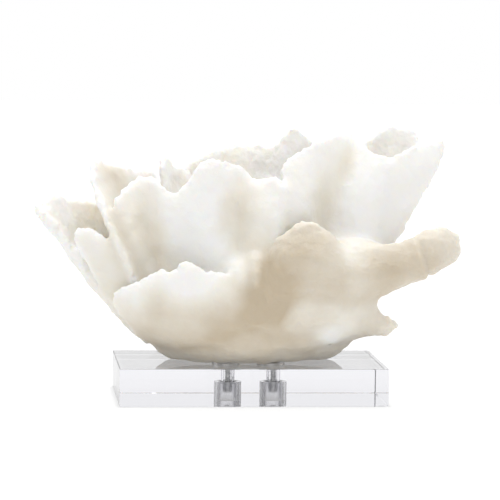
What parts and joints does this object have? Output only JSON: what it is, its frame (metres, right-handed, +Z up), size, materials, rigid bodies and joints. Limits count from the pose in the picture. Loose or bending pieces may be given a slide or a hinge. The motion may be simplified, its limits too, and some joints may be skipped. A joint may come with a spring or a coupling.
{
  "type": "ruffled plate coral on a clear display block",
  "caption": "White ruffled coral with broad folded fronds, screwed from below to a clear rectangular display block.",
  "frame": {"origin": "centre of the block's underside", "axes": "+Z up, +X to the right along the block's long side, +Y to the back"},
  "size_m": [0.2814, 0.1244, 0.1831],
  "materials": {
    "coral": "matt, waxy white coral skeleton, warmer in the folds",
    "clear_acrylic": "polished clear cast acrylic",
    "screw_steel": "bright socket-cap screw",
    "washer_steel": "plain steel washer"
  },
  "bodies": {
    "root": {"acrylic_block": "clear_acrylic", "screw_left": "screw_steel", "screw_right": "screw_steel", "washer_left": "washer_steel", "washer_right": "washer_steel", "coral_foot": "coral", "centre_frond": "coral", "right_frond": "coral", "thumb_frond": "coral", "front_shelf": "coral", "spur_frond": "coral", "left_frond": "coral", "far_left_frond": "coral", "far_left_inner_lobe": "coral", "back_spike": "coral", "back_frond": "coral", "back_right_frond": "coral"}
  },
  "joints": []
}
